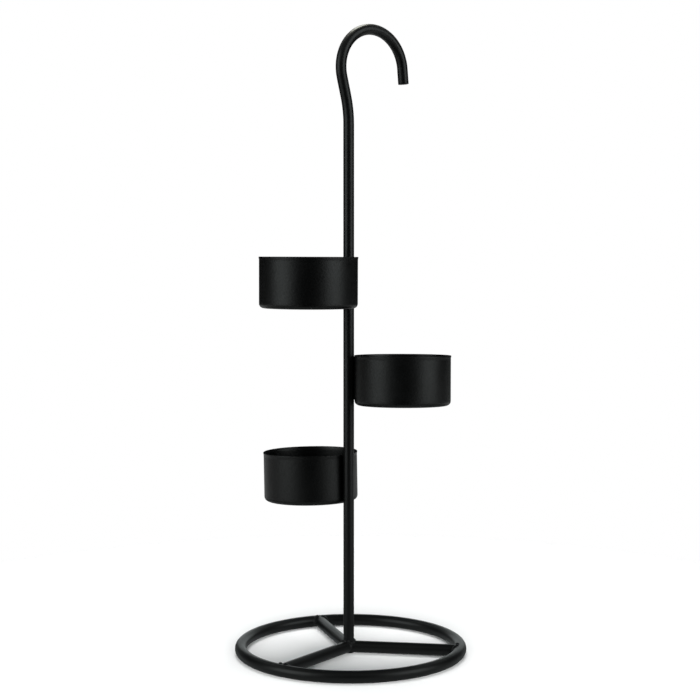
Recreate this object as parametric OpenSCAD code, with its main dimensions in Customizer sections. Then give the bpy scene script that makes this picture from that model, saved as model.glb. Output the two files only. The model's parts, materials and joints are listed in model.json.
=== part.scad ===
// Wire-rod candle rack: three open tealight cups on a post with a crook at its top.
// Millimetres, +Z up. The origin is on the floor, at the centre of the base ring.

/* [Base] */
// Diameter of the base ring, along the centre line of its rod
ring_d = 103; // [100:0.5:130]
// Diameter of the rod that the ring is bent from
ring_rod_d = 5.6; // [5.6:0.1:7]
// Diameter of the spokes' rod
spoke_rod_d = 5.5; // [4.6:0.1:5.5]
// Directions of the spokes from the post: right, back left, front left
spoke_turns = [-8.5, 107, 234]; // [-20:0.5:250]
// Offset of the post from the ring's centre, to the right
post_x = -0.9; // [-2:0.1:2]

/* [Post] */
// Diameter of the post's rod
post_d = 5; // [4:0.1:5.2]
// Height at which the post's long straight length ends
post_h = 246.5; // [230:0.5:320]

/* [Crook] */
// Direction that the crook reaches in, from +X towards +Y
crook_turn = 38.5; // [0:0.5:359]
// Radius of the easing bend, which leans the rod back below the crook
ease_r = 51; // [30:1:80]
// Angle of the easing bend
ease_angle = 14.5; // [5:0.5:25]
// Straight length between the easing bend and the crook
neck_run = 9; // [2:0.5:20]
// Radius of the crook
crook_r = 18.5; // [12:0.1:25]
// Angle that the crook turns through
crook_angle = 189; // [150:1:200]
// Straight length at the end of the crook
tip_run = 7.2; // [3:0.1:15]
// Chamfer around the rod's cut end
tip_edge = 0.4; // [0.1:0.1:1]

/* [Cups] */
// Outside diameter of a cup's wall
cup_d = 44.7; // [40:0.1:50]
// Height of a cup
cup_h = 23.2; // [15:0.1:30]
// Thickness of the pressed sheet
cup_wall = 0.6; // [0.4:0.1:1.2]
// Outside radius of the corner between floor and wall
cup_corner_r = 2.1; // [1.5:0.1:4]
// Height of the flared lip at the rim
lip_h = 1.2; // [0.8:0.1:3]
// How far the lip flares out
lip_flare = 0.2; // [0.1:0.05:0.5]
// Directions from the post to the cups: top, middle, bottom
cup_turns = [223.5, -3.5, 136]; // [-45:0.5:315]
// Heights of the cups' floors: top, middle, bottom
cup_floors = [162.4, 116.8, 69.6]; // [20:0.1:200]
// Lean of the cups away from the post, in degrees: top, middle, bottom
cup_sags = [0, 0, 1.3]; // [0:0.1:2]
// Sideways lean of the cups, in degrees: top, middle, bottom
cup_rolls = [-0.3, -1.8, 0]; // [-2:0.1:2]

/* [Welds] */
// Radius of the bead around the post's foot
hub_bead_r = 4.5; // [4.2:0.1:6]
// Radius of the beads beside the end of each spoke
spoke_bead_r = 1.7; // [1.5:0.1:2.5]
// Radius of the weld run in the groove between a cup and the post
seam_r = 0.8; // [0.5:0.1:1.2]
// Side of the post that each cup's weld run is on: top, middle, bottom
seam_sides = [1, 1, -1]; // [-1:2:1]

/* [Hidden] */
$fn = 240;

// Places in the lists above
RIGHT = 0;
BACK_LEFT = 1;
FRONT_LEFT = 2;
TOP = 0;
MIDDLE = 1;
BOTTOM = 2;

ring_r = ring_d / 2;
ring_rod_r = ring_rod_d / 2;
spoke_r = spoke_rod_d / 2;
post_r = post_d / 2;
cup_r = cup_d / 2;

// The rod thins a hair where it is bent, and each straight length laps into its bends
bent_rod_r = post_r - 0.01;
bend_lap = 0.1;

// A hair of room at the lip, so that the cups meet the post through their welds
lip_gap = 0.05;
cup_reach = post_r + cup_r + lip_flare + lip_gap;
// Room that a cup's sideways lean takes up in the groove that its weld lies in
seam_room = 0.1;
// Gap between the post and the end of each spoke, which the bead fills
root_gap = 0.2;
// The bead around the post's foot stays this far off the floor
floor_room = 0.4;

// Length of a spoke from the post's centre to the ring's centre line
function spoke_length(turn) = -post_x * cos(turn) + sqrt(ring_r ^ 2 - (post_x * sin(turn)) ^ 2);

// ---- Base ----

module at_post() {
    translate([post_x, 0, 0]) children();
}

module base_ring() {
    color("#1b1b1c")
    translate([0, 0, ring_rod_r])
    rotate_extrude()
    translate([ring_r, 0])
    circle(r = ring_rod_r);
}

// A spoke's rod before its outer end is shaped, from its flat inner end to the ring's centre line
module spoke_rod(i) {
    start = post_r + root_gap;
    at_post()
    rotate([0, 0, spoke_turns[i]])
    translate([start, 0, ring_rod_r])
    rotate([0, 90, 0])
    cylinder(h = spoke_length(spoke_turns[i]) - start, r = spoke_r);
}

// Cut square at the post, and coped to the ring
module spoke(i) {
    color("#1e1e20")
    difference() {
        spoke_rod(i);
        base_ring();
    }
}

module spoke_right() {
    spoke(RIGHT);
}

module spoke_back_left() {
    spoke(BACK_LEFT);
}

module spoke_front_left() {
    spoke(FRONT_LEFT);
}

// ---- Post and crook: one rod, bent twice ----

// A straight length from one height to another
module run(from, to) {
    translate([0, 0, from]) cylinder(h = to - from, r = post_r);
}

// A bend towards +X, or towards -X when the angle is negative, with what follows on its end
module bend(radius, angle) {
    centre = sign(angle) * radius;
    translate([centre, 0, 0]) {
        rotate([90, 0, angle > 0 ? 180 : 0])
        rotate_extrude(angle = abs(angle))
        translate([radius, 0])
        circle(r = bent_rod_r);
        rotate([0, angle, 0])
        translate([-centre, 0, 0])
        children();
    }
}

module post() {
    tip_h = tip_run - tip_edge;
    color("#161617")
    at_post()
    rotate([0, 0, crook_turn]) {
        run(0, post_h + bend_lap);
        translate([0, 0, post_h])
        bend(ease_r, -ease_angle) {
            run(-bend_lap, neck_run + bend_lap);
            translate([0, 0, neck_run])
            bend(crook_r, crook_angle) {
                run(-bend_lap, tip_h);
                translate([0, 0, tip_h]) cylinder(h = tip_edge, r1 = post_r, r2 = post_r - tip_edge);
            }
        }
    }
}

// The stretch of the post that other pieces are shaped to
module post_foot() {
    at_post()
    translate([0, 0, -1])
    cylinder(h = post_h, r = post_r);
}

// ---- Cups ----

// Half section of a beaker with a rounded floor corner
module beaker_section(radius, height, corner) {
    square([radius - corner, height]);
    translate([0, corner]) square([radius, height - corner]);
    translate([radius - corner, corner]) circle(r = corner);
}

module cup_section() {
    wall_h = cup_h - lip_h;
    difference() {
        beaker_section(cup_r, wall_h, cup_corner_r);
        translate([0, cup_wall])
        beaker_section(cup_r - cup_wall, cup_h, cup_corner_r - cup_wall);
    }
    polygon([
        [cup_r - cup_wall, wall_h],
        [cup_r, wall_h],
        [cup_r + lip_flare, cup_h],
        [cup_r + lip_flare - cup_wall, cup_h]
    ]);
}

module at_cup(i) {
    at_post()
    rotate([0, 0, cup_turns[i]])
    translate([cup_reach, 0, cup_floors[i]])
    rotate([cup_rolls[i], cup_sags[i], 0])
    children();
}

module cup(i) {
    color("#141415")
    at_cup(i)
    rotate_extrude()
    cup_section();
}

module cup_top() {
    cup(TOP);
}

module cup_middle() {
    cup(MIDDLE);
}

module cup_bottom() {
    cup(BOTTOM);
}

// ---- Welds ----

module weld_hub() {
    bead_z = ring_rod_r + 0.6;
    color("#2a2a2c")
    difference() {
        at_post() translate([0, 0, bead_z]) sphere(r = hub_bead_r);
        post_foot();
        for (i = [RIGHT, BACK_LEFT, FRONT_LEFT]) spoke_rod(i);
        translate([-ring_d, -ring_d, -ring_d]) cube([2 * ring_d, 2 * ring_d, ring_d + floor_room]);
    }
}

// A bead in the corner on each side of a spoke, where it meets the ring
module weld_spoke(i) {
    reach = spoke_length(spoke_turns[i]) - ring_rod_r;
    color("#2a2a2c")
    difference() {
        at_post()
        rotate([0, 0, spoke_turns[i]])
        for (side = [-1, 1])
            translate([reach, side * (spoke_r + 0.4), ring_rod_r + 0.5])
            rotate([0, 90, 0])
            sphere(r = spoke_bead_r);
        spoke_rod(i);
        base_ring();
    }
}

module weld_spoke_right() {
    weld_spoke(RIGHT);
}

module weld_spoke_back_left() {
    weld_spoke(BACK_LEFT);
}

module weld_spoke_front_left() {
    weld_spoke(FRONT_LEFT);
}

// Half section of a round run with domed ends
module run_section(radius, length) {
    translate([0, radius]) square([radius, length - 2 * radius]);
    for (y = [radius, length - radius])
        intersection() {
            translate([0, y]) circle(r = radius);
            translate([0, y - radius]) square([radius, 2 * radius]);
        }
}

// A run laid in the groove between a cup and the post
module weld_cup(i) {
    from_post = post_r + seam_r + seam_room;
    from_cup = cup_r + seam_r + seam_room;
    x = (from_post ^ 2 - from_cup ^ 2 + cup_reach ^ 2) / (2 * cup_reach);
    y = seam_sides[i] * sqrt(from_post ^ 2 - x ^ 2);
    color("#2a2a2c")
    at_post()
    rotate([0, 0, cup_turns[i]])
    translate([x, y, cup_floors[i] + cup_corner_r])
    rotate_extrude()
    run_section(seam_r, cup_h - cup_corner_r - lip_h);
}

module weld_cup_top() {
    weld_cup(TOP);
}

module weld_cup_middle() {
    weld_cup(MIDDLE);
}

module weld_cup_bottom() {
    weld_cup(BOTTOM);
}

base_ring();
spoke_right();
spoke_back_left();
spoke_front_left();
post();
cup_top();
cup_middle();
cup_bottom();
weld_hub();
weld_spoke_right();
weld_spoke_back_left();
weld_spoke_front_left();
weld_cup_top();
weld_cup_middle();
weld_cup_bottom();
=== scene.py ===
import json
import math

import bpy
import numpy as np
from mathutils import Matrix, Vector


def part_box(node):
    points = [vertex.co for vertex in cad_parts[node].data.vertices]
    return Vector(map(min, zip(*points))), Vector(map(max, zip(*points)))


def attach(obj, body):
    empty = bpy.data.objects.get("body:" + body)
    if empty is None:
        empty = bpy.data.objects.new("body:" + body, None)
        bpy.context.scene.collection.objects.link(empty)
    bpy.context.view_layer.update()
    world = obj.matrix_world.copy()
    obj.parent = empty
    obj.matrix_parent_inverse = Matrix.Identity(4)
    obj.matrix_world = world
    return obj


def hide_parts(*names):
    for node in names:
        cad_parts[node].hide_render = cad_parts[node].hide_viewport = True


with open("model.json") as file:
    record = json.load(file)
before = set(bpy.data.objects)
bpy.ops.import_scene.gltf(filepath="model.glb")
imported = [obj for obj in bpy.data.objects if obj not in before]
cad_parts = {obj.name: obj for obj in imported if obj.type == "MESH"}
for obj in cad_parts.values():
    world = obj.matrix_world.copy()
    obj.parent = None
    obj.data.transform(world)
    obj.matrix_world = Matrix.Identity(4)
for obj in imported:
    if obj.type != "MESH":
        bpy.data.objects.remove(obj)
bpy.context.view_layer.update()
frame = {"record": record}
scene = bpy.context.scene
MM = 0.001
UP = np.array([0.0, 0.0, 1.0])

# ---- Camera: level with the upper cup's rim, tipped down a little ----

CAMERA_SPOT = Vector((-0.3, -678.2, 182.7)) * MM
CAMERA_PITCH = math.radians(3.4)
CAMERA_LENS = 75.15

camera_data = bpy.data.cameras.new("camera")
camera_data.lens = CAMERA_LENS
camera_data.sensor_width = 36
camera = bpy.data.objects.new("camera", camera_data)
camera.location = CAMERA_SPOT
camera.rotation_euler = (math.pi / 2 - CAMERA_PITCH, 0, 0)
scene.collection.objects.link(camera)
scene.camera = camera

# ---- Sizes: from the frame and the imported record, and else as in the CAD part ----

ring_low, ring_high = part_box("base_ring")
RING_ROD_R = ring_high.z / 2
RING_R = (ring_high.x - ring_low.x) / 2 - RING_ROD_R
ring_centre = Vector(((ring_low.x + ring_high.x) / 2, (ring_low.y + ring_high.y) / 2, RING_ROD_R))

mounts = {m["name"]: m for m in frame["record"]["mounts"]}

# The post and the spokes meet at the hub, a little beside the ring's centre
POST_R = 2.5 * MM
POST_X = -0.9 * MM
SPOKE_R = 2.75 * MM
HUB = np.array([POST_X, 0.0, RING_ROD_R])
SPOKE_TURNS = {"spoke_right": -8.5, "spoke_back_left": 107, "spoke_front_left": 234}

# The crook: an easing bend back, a short neck, then the round crook and its straight tip
POST_RUN = 246.5 * MM
CROOK_TURN = math.radians(38.5)
EASE_R, EASE_ANGLE = 51 * MM, math.radians(14.5)
NECK_RUN = 9 * MM
CROOK_R, CROOK_ANGLE = 18.5 * MM, math.radians(189)
BEND_THINNING = 0.015 * MM
TIP_RUN = 7.2 * MM
TIP_EDGE = 0.4 * MM

# The cups: pressed sheet with a round floor corner and a small flared lip
CUP_BORE_R = mounts["cup_top_bore"]["dims"]["r_mm"] * MM
SHEET = 0.6 * MM
CUP_H = 23.2 * MM
CUP_CORNER_R = 2.1 * MM
LIP_H = 1.2 * MM
LIP_FLARE = 0.2 * MM
CUP_R = CUP_BORE_R + SHEET
# Side of the post that each cup's weld run is on
CUP_WELD_SIDES = {"top": 1, "middle": 1, "bottom": -1}


# ---- Mesh helpers ----

def new_piece(name, points, faces):
    """A smooth-shaded mesh object, with its place in its mesh."""
    mesh = bpy.data.meshes.new(name)
    mesh.from_pydata([tuple(p) for p in points], [], faces)
    mesh.validate()
    mesh.update()
    mesh.polygons.foreach_set("use_smooth", [True] * len(mesh.polygons))
    piece = bpy.data.objects.new(name, mesh)
    scene.collection.objects.link(piece)
    return piece


def lathe(outline, segments):
    """Points and faces of an outline turned about Z: (radius, height) pairs that start and end on Z."""
    points = [(0, 0, outline[0][1])]
    for radius, height in outline[1:-1]:
        for k in range(segments):
            turn = 2 * math.pi * k / segments
            points.append((radius * math.cos(turn), radius * math.sin(turn), height))
    points.append((0, 0, outline[-1][1]))
    rings = len(outline) - 2
    last = len(points) - 1
    end = 1 + (rings - 1) * segments
    faces = []
    for k in range(segments):
        after = (k + 1) % segments
        faces.append((0, 1 + after, 1 + k))
        for ring in range(rings - 1):
            a = 1 + ring * segments
            b = a + segments
            faces.append((a + k, a + after, b + after, b + k))
        faces.append((end + k, end + after, last))
    return points, faces


def sweep(path, radii, sides, closed=False):
    """A tube along a path, with a radius at each point. An open tube is capped with a point at each end."""
    path = np.asarray(path, float)
    count = len(path)
    if closed:
        ahead = np.roll(path, -1, 0) - np.roll(path, 1, 0)
    else:
        ahead = np.gradient(path, axis=0)
    ahead /= np.linalg.norm(ahead, axis=1)[:, None]
    side = np.cross(ahead[0], UP if abs(ahead[0][2]) < 0.9 else (1.0, 0.0, 0.0))
    side /= np.linalg.norm(side)
    turns = np.linspace(0, 2 * math.pi, sides, endpoint=False)
    points, faces = [], []
    for i in range(count):
        side = side - ahead[i] * np.dot(side, ahead[i])
        side /= np.linalg.norm(side)
        over = np.cross(ahead[i], side)
        ring = path[i] + radii[i] * (np.outer(np.cos(turns), side) + np.outer(np.sin(turns), over))
        points.extend(ring)
    for i in range(count if closed else count - 1):
        a = i * sides
        b = ((i + 1) % count) * sides
        for k in range(sides):
            after = (k + 1) % sides
            faces.append((a + k, a + after, b + after, b + k))
    if not closed:
        points.extend([path[0], path[-1]])
        start, end = len(points) - 2, len(points) - 1
        last_ring = (count - 1) * sides
        for k in range(sides):
            after = (k + 1) % sides
            faces.append((start, after, k))
            faces.append((end, last_ring + k, last_ring + after))
    return points, faces


def arc(centre, radius, start, end, steps):
    """Points (radius, height) along an arc, from one angle to another, in degrees."""
    angles = np.radians(np.linspace(start, end, steps))
    return [(centre[0] + radius * math.cos(a), centre[1] + radius * math.sin(a)) for a in angles]


# ---- Materials: satin black powder coat ----

# Cloudiness of the coat: its scale per metre, and how far it moves the tone and the roughness
CLOUD_SCALE = 55
CLOUD_LOW, CLOUD_HIGH = 0.3, 0.7
CLOUD_TONE = 0.2
CLOUD_GLOSS = 0.035
# Detail finer than the orange peel: how much finer, and its share of the roughness and of the height
FINE_SCALE = 5.5
FINE_GLOSS = 0.08
FINE_HEIGHT = 0.25
# Pale specks of grit: their spacing and their size, from core to edge
SPECK_SCALE = 2.6
SPECK_CORE, SPECK_EDGE = 0.05, 0.16
# Black pigment is a hair bluer than grey
PIGMENT_BLUE = 1.04


class Nodes:
    """A short way to add and link shader nodes."""

    def __init__(self, tree):
        self.tree = tree

    def add(self, kind, inputs=None, **settings):
        node = self.tree.nodes.new(kind)
        for key, value in settings.items():
            setattr(node, key, value)
        for key, value in (inputs or {}).items():
            if isinstance(value, bpy.types.NodeSocket):
                self.tree.links.new(value, node.inputs[key])
            else:
                node.inputs[key].default_value = value
        return node

    def noise(self, where, scale, detail, roughness):
        settings = {"Vector": where, "Scale": scale, "Detail": detail, "Roughness": roughness}
        return self.add("ShaderNodeTexNoise", settings).outputs["Fac"]

    def ramp(self, value, from_low, from_high, to_low, to_high):
        ends = {"From Min": from_low, "From Max": from_high, "To Min": to_low, "To Max": to_high}
        return self.add("ShaderNodeMapRange", {"Value": value, **ends}).outputs["Result"]


def powder_coat(name, tone, roughness, peel_size, peel_depth, grit):
    """A dark coat with cloudy tone and gloss, orange peel, and fine grit that catches the light."""
    material = bpy.data.materials.new(name)
    material.use_nodes = True
    tree = material.node_tree
    tree.nodes.clear()
    n = Nodes(tree)
    where = n.add("ShaderNodeTexCoord").outputs["Object"]
    cloud = n.noise(where, CLOUD_SCALE, detail=3, roughness=0.55)
    peel = n.noise(where, 1 / peel_size, detail=2, roughness=0.45)
    fine = n.noise(where, FINE_SCALE / peel_size, detail=2, roughness=0.6)
    specks = n.add("ShaderNodeTexVoronoi", {"Vector": where, "Scale": SPECK_SCALE / peel_size})

    tone_ramp = n.ramp(cloud, CLOUD_LOW, CLOUD_HIGH, 1 - CLOUD_TONE, 1 + CLOUD_TONE)
    speck_mask = n.ramp(specks.outputs["Distance"], SPECK_EDGE, SPECK_CORE, 0.0, grit)
    gloss = n.ramp(cloud, CLOUD_LOW, CLOUD_HIGH, roughness - CLOUD_GLOSS, roughness + CLOUD_GLOSS)
    brightness = n.add("ShaderNodeMath", {0: tone_ramp, 1: speck_mask}, operation="ADD")
    pigment = (tone, tone, tone * PIGMENT_BLUE)
    colour = n.add("ShaderNodeVectorMath", {0: pigment, "Scale": brightness.outputs[0]}, operation="SCALE")
    gloss_fine = n.add("ShaderNodeMath", {0: fine, 1: FINE_GLOSS, 2: gloss}, operation="MULTIPLY_ADD")
    height = n.add("ShaderNodeMath", {0: fine, 1: FINE_HEIGHT, 2: peel}, operation="MULTIPLY_ADD")
    bump = n.add("ShaderNodeBump", {"Height": height.outputs[0], "Strength": 0.6, "Distance": peel_depth})
    shader = n.add("ShaderNodeBsdfPrincipled", {
        "Base Color": colour.outputs[0],
        "Roughness": gloss_fine.outputs[0],
        "IOR": 1.5,
        "Normal": bump.outputs["Normal"],
    })
    n.add("ShaderNodeOutputMaterial", {"Surface": shader.outputs["BSDF"]})
    return material


# Each slot's tone, roughness, orange peel's size and depth, and grit
COATS = {
    "rod_coat": (0.003, 0.36, 0.9 * MM, 0.04 * MM, 0.5),
    "cup_coat": (0.002, 0.36, 1.1 * MM, 0.08 * MM, 0.5),
    "weld_coat": (0.005, 0.40, 0.6 * MM, 0.07 * MM, 0.7),
}
SLOT_MATERIALS = {slot: powder_coat(slot, *coat) for slot, coat in COATS.items()}


def finish_piece(piece, node, slot):
    """Gives a piece its coat, and lets it stand for its CAD node."""
    piece.data.materials.append(SLOT_MATERIALS[slot])
    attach(piece, "root")
    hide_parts(node)
    return piece


# ---- Base: the ring and its spokes ----

RING_STEPS = 288
SPOKE_STEPS = 60
ROD_SIDES = 48
# A spoke's rod starts inside the post and ends inside the ring, at these shares of their radii
SPOKE_START = 0.6
SPOKE_END = 0.35


def build_ring():
    turns = np.linspace(0, 2 * math.pi, RING_STEPS, endpoint=False)
    path = np.stack([
        ring_centre.x + RING_R * np.cos(turns),
        ring_centre.y + RING_R * np.sin(turns),
        np.full(RING_STEPS, ring_centre.z),
    ], 1)
    piece = new_piece("ring_rod", *sweep(path, np.full(RING_STEPS, RING_ROD_R), ROD_SIDES, closed=True))
    return finish_piece(piece, "base_ring", "rod_coat")


def spoke_direction(node):
    turn = math.radians(SPOKE_TURNS[node])
    return np.array([math.cos(turn), math.sin(turn), 0.0])


def spoke_reach(node):
    """Distance from the post's centre to the ring's centre line, along a spoke."""
    turn = math.radians(SPOKE_TURNS[node])
    across = POST_X * math.sin(turn)
    return -POST_X * math.cos(turn) + math.sqrt(RING_R ** 2 - across ** 2)


def build_spoke(node):
    """A straight rod from beside the post to inside the ring's rod."""
    ahead = spoke_direction(node)
    start = POST_R * SPOKE_START
    end = spoke_reach(node) - RING_ROD_R * SPOKE_END
    path = HUB + np.outer(np.linspace(start, end, SPOKE_STEPS), ahead)
    piece = new_piece(node + "_rod", *sweep(path, np.full(len(path), SPOKE_R), ROD_SIDES))
    return finish_piece(piece, node, "rod_coat")


# ---- Post and crook: one rod ----

TIP_STEPS = 6


def crook_path():
    """The rod in the crook's own plane: (distance out, height) pairs, and the rod's radius at each."""
    out, height, lean = 0.0, 0.0, 0.0
    path = [(out, height)]
    radii = [POST_R]

    def straight(length, steps):
        nonlocal out, height
        for _ in range(steps):
            out += length / steps * math.sin(lean)
            height += length / steps * math.cos(lean)
            path.append((out, height))
            radii.append(POST_R)

    def bend(radius, angle, steps):
        nonlocal out, height, lean
        chord = 2 * radius * math.sin(abs(angle) / steps / 2)
        for _ in range(steps):
            lean += angle / steps / 2
            out += chord * math.sin(lean)
            height += chord * math.cos(lean)
            lean += angle / steps / 2
            path.append((out, height))
            radii.append(POST_R - BEND_THINNING)

    straight(POST_RUN, steps=120)
    bend(EASE_R, -EASE_ANGLE, steps=16)
    straight(NECK_RUN, steps=6)
    bend(CROOK_R, CROOK_ANGLE, steps=96)
    straight(TIP_RUN - TIP_EDGE, steps=6)
    return path, radii, lean


def build_post():
    path, radii, lean = crook_path()
    out, height = path[-1]
    # The cut end, rounded by its coat
    for step in range(1, TIP_STEPS + 1):
        angle = math.radians(90 * step / TIP_STEPS)
        along = TIP_EDGE * math.sin(angle)
        path.append((out + along * math.sin(lean), height + along * math.cos(lean)))
        radii.append(POST_R - TIP_EDGE * (1 - math.cos(angle)))
    plane = np.array([math.cos(CROOK_TURN), math.sin(CROOK_TURN), 0.0])
    foot = np.array([POST_X, 0.0, 0.0])
    points = [foot + out * plane + height * UP for out, height in path]
    piece = new_piece("post_rod", *sweep(points, radii, ROD_SIDES))
    return finish_piece(piece, "post", "rod_coat")


# ---- Cups ----

CUP_SEGMENTS = 256
CORNER_STEPS = 12
WALL_STEPS = 24
# Shares of a cup's radius where its floor has rings of points
FLOOR_RINGS = (0.25, 0.5, 0.75)


def cup_frame(place):
    """A cup's own frame: origin at the underside's centre, Z along its bore."""
    mount = mounts[f"cup_{place}_bore"]
    axis = Vector(mount["axis"]).normalized()
    bore_middle = (CUP_CORNER_R + CUP_H - LIP_H) / 2
    origin = Vector(mount["pos_m"]) - axis * bore_middle
    out = Vector((origin.x - POST_X, origin.y, 0.0)).normalized()
    side = axis.cross(out).normalized()
    out = side.cross(axis)
    turn = Matrix((out, side, axis)).transposed().to_4x4()
    return Matrix.Translation(origin) @ turn


def cup_outline():
    """Half outline of the sheet, from under the floor, round the lip, and back to the floor inside."""
    edge = SHEET / 2
    corner = (CUP_R - CUP_CORNER_R, CUP_CORNER_R)
    wall_h = CUP_H - LIP_H - CUP_CORNER_R
    wall = [CUP_CORNER_R + wall_h * f for f in np.linspace(0.05, 1, WALL_STEPS)]
    outline = [(0, 0)]
    outline += [(CUP_R * f, 0) for f in FLOOR_RINGS]
    outline += arc(corner, CUP_CORNER_R, -90, 0, CORNER_STEPS)
    outline += [(CUP_R, height) for height in wall]
    outline += arc((CUP_R + LIP_FLARE - edge, CUP_H - edge), edge, 0, 180, CORNER_STEPS)
    outline += [(CUP_BORE_R, height) for height in reversed(wall)]
    outline += arc(corner, CUP_CORNER_R - SHEET, 0, -90, CORNER_STEPS - 2)
    outline += [(CUP_R * f, SHEET) for f in reversed(FLOOR_RINGS)]
    outline += [(0, SHEET)]
    return outline


def build_cup(place):
    points, faces = lathe(cup_outline(), CUP_SEGMENTS)
    to_frame = cup_frame(place)
    piece = new_piece(f"cup_{place}_shell", [to_frame @ Vector(p) for p in points], faces)
    return finish_piece(piece, f"cup_{place}", "cup_coat")


# ---- Welds ----

# Welds sink this deep into the rods that they join, and stay this far off the floor
SINK = 0.05 * MM
WELD_FLOOR_ROOM = 0.4 * MM
# The beads' middles lie this far proud of a spoke
BEAD_PROUD = 0.1 * MM
# Unevenness of the beads: its depth, and how fast it varies along each axis, in radians per metre
WAVE_DEPTH = 0.03 * MM
WAVE_X, WAVE_Y, WAVE_Z = 6100, 5300, 4100
# How finely a weld's surface is looked for: steps outward, then halvings of the last step
SEARCH_STEPS = 90
SEARCH_HALVINGS = 14


def smooth_union(a, b, blend):
    """The smaller of two distances, with a fillet between them."""
    h = np.clip(0.5 + 0.5 * (b - a) / blend, 0, 1)
    return b * (1 - h) + a * h - blend * h * (1 - h)


def rod_distance(points, start, ahead, radius):
    """Distance from an endless rod."""
    off = points - start
    along = off @ ahead
    return np.linalg.norm(off - np.outer(along, ahead), axis=1) - radius


def ring_distance(points):
    """Distance from the base ring."""
    off = points - np.array(ring_centre)
    across = np.hypot(off[:, 0], off[:, 1]) - RING_R
    return np.hypot(across, off[:, 2]) - RING_ROD_R


def ball_directions(levels):
    """Evenly spread directions and the faces between them, from an icosahedron split a number of times."""
    gold = (1 + 5 ** 0.5) / 2
    points = [(-1, gold, 0), (1, gold, 0), (-1, -gold, 0), (1, -gold, 0),
              (0, -1, gold), (0, 1, gold), (0, -1, -gold), (0, 1, -gold),
              (gold, 0, -1), (gold, 0, 1), (-gold, 0, -1), (-gold, 0, 1)]
    faces = [(0, 11, 5), (0, 5, 1), (0, 1, 7), (0, 7, 10), (0, 10, 11),
             (1, 5, 9), (5, 11, 4), (11, 10, 2), (10, 7, 6), (7, 1, 8),
             (3, 9, 4), (3, 4, 2), (3, 2, 6), (3, 6, 8), (3, 8, 9),
             (4, 9, 5), (2, 4, 11), (6, 2, 10), (8, 6, 7), (9, 8, 1)]
    points = [np.array(p) / np.linalg.norm(p) for p in points]
    for _ in range(levels):
        middles, split = {}, []

        def middle(a, b):
            key = (min(a, b), max(a, b))
            if key not in middles:
                p = points[a] + points[b]
                points.append(p / np.linalg.norm(p))
                middles[key] = len(points) - 1
            return middles[key]

        for a, b, c in faces:
            ab, bc, ca = middle(a, b), middle(b, c), middle(c, a)
            split += [(a, ab, ca), (b, bc, ab), (c, ca, bc), (ab, bc, ca)]
        faces = split
    return np.array(points), faces


BALL_POINTS, BALL_FACES = ball_directions(5)


def grown_weld(piece_name, node, centre, distance, reach):
    """A weld grown from its middle: in every direction it ends where the distance first reaches zero."""
    low = np.zeros(len(BALL_POINTS))
    high = np.full(len(BALL_POINTS), reach)
    found = np.zeros(len(BALL_POINTS), bool)
    for radius in np.linspace(0, reach, SEARCH_STEPS)[1:]:
        outside = distance(centre + BALL_POINTS * radius) > 0
        high[outside & ~found] = radius
        found |= outside
        low[~found] = radius
    for _ in range(SEARCH_HALVINGS):
        middle = (low + high) / 2
        outside = distance(centre + BALL_POINTS * middle[:, None]) > 0
        high = np.where(found & outside, middle, high)
        low = np.where(found & ~outside, middle, low)
    radius = np.where(found, (low + high) / 2, reach)
    piece = new_piece(piece_name, centre + BALL_POINTS * radius[:, None], BALL_FACES)
    return finish_piece(piece, node, "weld_coat")


def with_beads(whole, points, beads, blend):
    """Adds small balls of weld metal, (centre, radius) each, to a distance."""
    x, y, z = points.T
    wave = WAVE_DEPTH * np.sin(x * WAVE_X) * np.sin(y * WAVE_Y + z * WAVE_Z)
    for centre, radius in beads:
        ball = np.linalg.norm(points - centre, axis=1) - radius + wave
        whole = smooth_union(whole, ball, blend)
    return np.maximum(whole, WELD_FLOOR_ROOM - z)


# The collar round the post's foot: its beads, and the fillets of rods and beads
HUB_BEADS = 24
HUB_BEAD_R = 0.78   # in millimetres
HUB_FILLET = 0.8 * MM
HUB_BEAD_FILLET = 0.45 * MM
# It is grown from this far above the rods' centre lines, and no further than its reach
HUB_WELD_LIFT = 0.3 * MM
HUB_WELD_REACH = 6.0 * MM


def build_hub_weld():
    """A rippled collar laid where the post's side meets the spokes' tops, dipping between them."""
    spokes = [spoke_direction(node) for node in SPOKE_TURNS]
    beads = []
    for k in range(HUB_BEADS):
        turn = 2 * math.pi * (k + 0.2 * math.sin(2.1 * k)) / HUB_BEADS
        out = np.array([math.cos(turn), math.sin(turn), 0.0])
        nearest = max(float(out @ ahead) for ahead in spokes)
        across = POST_R * math.sqrt(1 - nearest ** 2)
        saddle = math.sqrt(SPOKE_R ** 2 - across ** 2)
        radius = (HUB_BEAD_R + 0.12 * math.sin(0.9 * k + 0.6) + 0.06 * math.sin(3.7 * k)) * MM
        beads.append((HUB + out * (POST_R - SINK) + UP * (saddle + BEAD_PROUD), radius))

    def distance(points):
        whole = rod_distance(points, HUB, UP, POST_R - SINK)
        for ahead in spokes:
            rod = np.maximum(rod_distance(points, HUB, ahead, SPOKE_R - SINK), -((points - HUB) @ ahead))
            whole = smooth_union(whole, rod, HUB_FILLET)
        return with_beads(whole, points, beads, HUB_BEAD_FILLET)

    middle = HUB + UP * HUB_WELD_LIFT
    return grown_weld("weld_hub_bead", "weld_hub", middle, distance, HUB_WELD_REACH)


# Beads on each side of a spoke's end, and the angles up the spoke's side that they are laid at
SPOKE_BEADS = 6
SPOKE_BEAD_START, SPOKE_BEAD_STEP = 2, 12
SPOKE_BEAD_R = 1.0   # in millimetres
SPOKE_FILLET = 0.5 * MM
# The weld is grown from this far inside the ring's rod, and the spoke it covers ends a little deeper
SPOKE_WELD_DEPTH = 0.4 * MM
SPOKE_WELD_END = 1.0 * MM
SPOKE_WELD_REACH = 5.6 * MM


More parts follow.
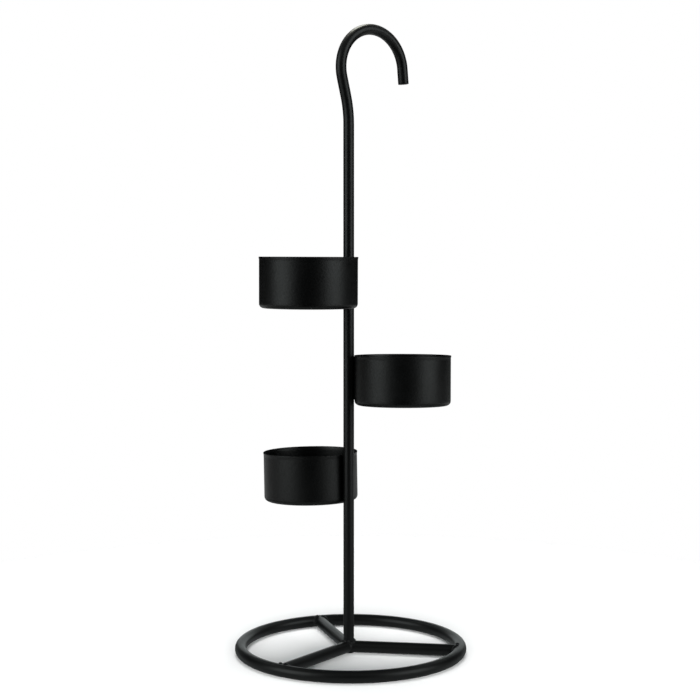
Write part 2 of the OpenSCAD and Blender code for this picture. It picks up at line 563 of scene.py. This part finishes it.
def build_spoke_weld(spoke, node):
    """Beads laid up the corner on each side of a spoke, where it meets the ring."""
    ahead = spoke_direction(spoke)
    left = np.cross(UP, ahead)
    meet = HUB + ahead * (spoke_reach(spoke) - RING_ROD_R)
    beads = []
    for side in (-1, 1):
        for k in range(SPOKE_BEADS):
            angle = math.radians(SPOKE_BEAD_START + SPOKE_BEAD_STEP * k)
            y, z = (SPOKE_R + BEAD_PROUD) * math.cos(angle), SPOKE_R * math.sin(angle)
            back = RING_ROD_R - math.sqrt(RING_ROD_R ** 2 - z ** 2)
            radius = (SPOKE_BEAD_R + 0.1 * math.sin(1.3 * k + side) - 0.03 * k) * MM
            beads.append((meet + ahead * back + left * side * y + UP * z, radius))

    def distance(points):
        rod = rod_distance(points, HUB, ahead, SPOKE_R - SINK)
        rod = np.maximum(rod, (points - meet) @ ahead - SPOKE_WELD_END)
        whole = smooth_union(rod, ring_distance(points) + SINK, SPOKE_FILLET)
        return with_beads(whole, points, beads, SPOKE_FILLET)

    middle = meet + ahead * SPOKE_WELD_DEPTH
    return grown_weld(node + "_bead", node, middle, distance, SPOKE_WELD_REACH)


# A cup's weld run. Points along it, and across it: on the post, over its crown, and on the cup
RUN_ROWS = 150
RUN_ON_POST, RUN_OVER, RUN_ON_CUP = 7, 14, 7
# Its ends stay this far from the cup's corner and rim
RUN_LOW_ROOM = 0.3 * MM
RUN_HIGH_ROOM = 0.5 * MM
# Its ripples: how far apart, and their share of its width. It tapers to the least width at its ends
RUN_RIPPLE = 0.95 * MM
RUN_RIPPLE_SHARE = 0.05
RUN_LEAST_WIDTH = 0.02
# It starts this many radians behind the line from post to cup, and spreads this far round each of them
RUN_START = 0.12
RUN_ROUND_POST = math.radians(50)
RUN_ROUND_CUP = 2.1 * MM
# How far it bulges, and in which direction, and how deep it sinks into the cup
RUN_CROWN = 0.22 * MM
RUN_BULGE = Vector((0.25, 1.0))
RUN_CUP_SINK = 0.1 * MM


def run_section(along, across, width):
    """Outline of a run's section. The post's centre is at (0, 0), and the cup's at (along, across)."""
    on_post = POST_R - SINK
    on_cup = CUP_R - RUN_CUP_SINK

    def post_point(angle):
        return Vector((math.cos(angle), math.sin(angle))) * on_post

    def cup_point(y):
        return Vector((along - math.sqrt(on_cup ** 2 - (y - across) ** 2), y))

    post_toe = RUN_ROUND_POST * width
    cup_toe = across + RUN_ROUND_CUP * width
    cup_start = -RUN_START * POST_R
    outline = []
    for k in range(RUN_ON_POST):
        outline.append(post_point(-RUN_START + (post_toe + RUN_START) * (k / RUN_ON_POST)))
    for k in range(RUN_OVER):
        f = k / RUN_OVER
        bulge = RUN_BULGE * RUN_CROWN * width * math.sin(math.pi * f)
        outline.append(post_point(post_toe).lerp(cup_point(cup_toe), f) + bulge)
    for k in range(RUN_ON_CUP):
        outline.append(cup_point(cup_toe + (cup_start - cup_toe) * (k / RUN_ON_CUP)))
    return outline


def build_cup_weld(place):
    """A run in the groove between a cup and the post, rippled, and tapering away at both ends."""
    to_frame = cup_frame(place)
    axis = to_frame.col[2].xyz
    origin = to_frame.translation
    out = Vector((origin.x - POST_X, origin.y, 0.0)).normalized()
    side = Vector((-out.y, out.x, 0.0)) * CUP_WELD_SIDES[place]
    low = CUP_CORNER_R + RUN_LOW_ROOM
    length = CUP_H - RUN_HIGH_ROOM - low
    points = []
    for row in range(RUN_ROWS):
        share = row / (RUN_ROWS - 1)
        height = origin.z + low + length * share
        taper = math.sqrt(max(0.0, 1 - (2 * share - 1) ** 6))
        ripple = 1 + RUN_RIPPLE_SHARE * math.sin(share * length / RUN_RIPPLE * 2 * math.pi)
        width = max(taper * ripple, RUN_LEAST_WIDTH)
        cup_middle = origin + axis * ((height - origin.z) / axis.z)
        to_cup = Vector((cup_middle.x - POST_X, cup_middle.y, 0.0))
        for p in run_section(to_cup.dot(out), to_cup.dot(side), width):
            points.append(Vector((POST_X, 0.0, height)) + out * p.x + side * p.y)
    around = RUN_ON_POST + RUN_OVER + RUN_ON_CUP
    faces = []
    for row in range(RUN_ROWS - 1):
        a, b = row * around, (row + 1) * around
        for k in range(around):
            after = (k + 1) % around
            faces.append((a + k, a + after, b + after, b + k))
    faces.append(tuple(range(around - 1, -1, -1)))
    faces.append(tuple((RUN_ROWS - 1) * around + k for k in range(around)))
    # On this side of the post the outline runs the other way round, so its faces are turned outward
    if CUP_WELD_SIDES[place] > 0:
        faces = [tuple(reversed(f)) for f in faces]
    piece = new_piece(f"weld_cup_{place}_run", points, faces)
    return finish_piece(piece, f"weld_cup_{place}", "weld_coat")


post = build_post()
for place in CUP_WELD_SIDES:
    build_cup(place)
    build_cup_weld(place)
base_pieces = [build_ring(), build_hub_weld()]
for spoke in SPOKE_TURNS:
    base_pieces += [build_spoke(spoke), build_spoke_weld(spoke, "weld_" + spoke)]

# ---- Floor and light ----

FLOOR_R = 0.295
FLOOR_SIDES = 96
FLOOR_SHADE = 0.93
# The card that the object's own bounce comes from. Its notch is this many degrees to each side of the front
CARD_R = 0.8
CARD_NOTCH_R = 0.18
CARD_NOTCH = 25
CARD_STEP = 3
CARD_SHADE = 0.5
CARD_DROP = 0.2 * MM

WHITE = (1, 1, 1)
LIGHT_TINT = (0.93, 1.0, 0.99)
RIM_TINT = (0.99, 1.0, 0.88)


def build_disc(name, radii, height, shade):
    """A matt disc that lies level around the object, as part of the stage, with a radius at each angle."""
    count = len(radii)
    points = [(0, 0, height)]
    for k, radius in enumerate(radii):
        turn = 2 * math.pi * k / count
        points.append((radius * math.sin(turn), -radius * math.cos(turn), height))
    faces = [(0, 1 + k, 1 + (k + 1) % count) for k in range(count)]
    disc = new_piece(name, points, faces)
    material = bpy.data.materials.new(name)
    material.use_nodes = True
    shader = material.node_tree.nodes["Principled BSDF"]
    shader.inputs["Base Color"].default_value = (shade, shade, shade, 1)
    shader.inputs["Roughness"].default_value = 0.8
    shader.inputs["Specular IOR Level"].default_value = 0.1
    disc.data.materials.append(material)
    return disc


def softbox(name, azimuth, distance, height, size, radiance, aim_z, tint=LIGHT_TINT, only_on=None):
    """A soft light that faces the height aim_z on the Z axis, and shines on everything, or only_on some.

    Azimuth 0 is in front of the object and 90 is to its right. Size is (width, height).
    """
    width, tall = size
    data = bpy.data.lights.new(name, "AREA")
    data.shape = "RECTANGLE"
    data.size = width
    data.size_y = tall
    data.energy = radiance * math.pi * width * tall
    data.color = tint
    light = bpy.data.objects.new(name, data)
    a = math.radians(azimuth)
    light.location = (distance * math.sin(a), -distance * math.cos(a), height)
    aim = Vector((0, 0, aim_z)) - light.location
    light.rotation_euler = aim.to_track_quat("-Z", "Y").to_euler()
    scene.collection.objects.link(light)
    if only_on:
        group = bpy.data.collections.new(name + "_lit")
        for obj in only_on:
            group.objects.link(obj)
        light.light_linking.receiver_collection = group


# The floor is bright to the camera, and the object's own bounce comes from a darker card just under it
floor = build_disc("floor", [FLOOR_R] * FLOOR_SIDES, 0, FLOOR_SHADE)
floor.visible_diffuse = False
floor.visible_glossy = False
card_angles = range(0, 360, CARD_STEP)
card_radii = [CARD_NOTCH_R if min(a, 360 - a) < CARD_NOTCH else CARD_R for a in card_angles]
card = build_disc("bounce_card", card_radii, -CARD_DROP, CARD_SHADE)
card.visible_camera = False

# Each light has its azimuth, distance and height, its size, its radiance, and the height that it faces.
# The first two draw the bright bands on the cups and the post
softbox("softbox_left", -61.5, 1.2, 0.60, (0.90, 1.1), 1.54, 0.45)
softbox("softbox_right", 63, 1.2, 0.60, (0.86, 1.1), 1.50, 0.45)
softbox("kicker_left", -130, 1.0, 1.1, (0.5, 0.5), 0.7, 0.2)
softbox("kicker_right", 130, 1.0, 1.1, (0.5, 0.5), 0.7, 0.2)
softbox("front_top", 0, 0.85, 0.95, (0.9, 0.6), 0.2, 0.1)
softbox("overhead", 180, 0.1, 1.3, (1.6, 1.6), 0.1, 0.0)
# Light that comes back up off the table, and along it from behind
softbox("table_glow", 0, 0, 0.02 * MM, (0.3, 0.3), 0.17, 1.0)
softbox("back_glow", 180, 0.30, 0.07, (0.9, 0.14), 0.1, 0.03)
# The base's rods mirror a bright table behind them, which the cups are too high to see
softbox("base_glow", 177, 0.29, 0.07, (0.34, 0.14), 0.9, 0.03, only_on=base_pieces)
# A lamp high behind draws a light edge along the crook's top
softbox("crook_rim", -174, 0.55, 1.3, (0.5, 0.5), 11.0, 0.28, RIM_TINT, only_on=[post])
# The floor has its own light: one from high behind, and a low one that keeps its front edge white
softbox("back_wash", 180, 0.7, 2.2, (1.6, 1.6), 5.0, 0.0, WHITE, only_on=[floor, card])
softbox("front_wash", 0, 1.0, 0.15, (1.0, 0.2), 50, 0.0, WHITE, only_on=[floor])

# A white room that only the camera sees
world = bpy.data.worlds.new("studio")
world.use_nodes = True
world.node_tree.nodes["Background"].inputs["Color"].default_value = (1, 1, 1, 1)
scene.world = world
world.cycles_visibility.diffuse = False
world.cycles_visibility.glossy = False
scene.view_settings.view_transform = "Standard"
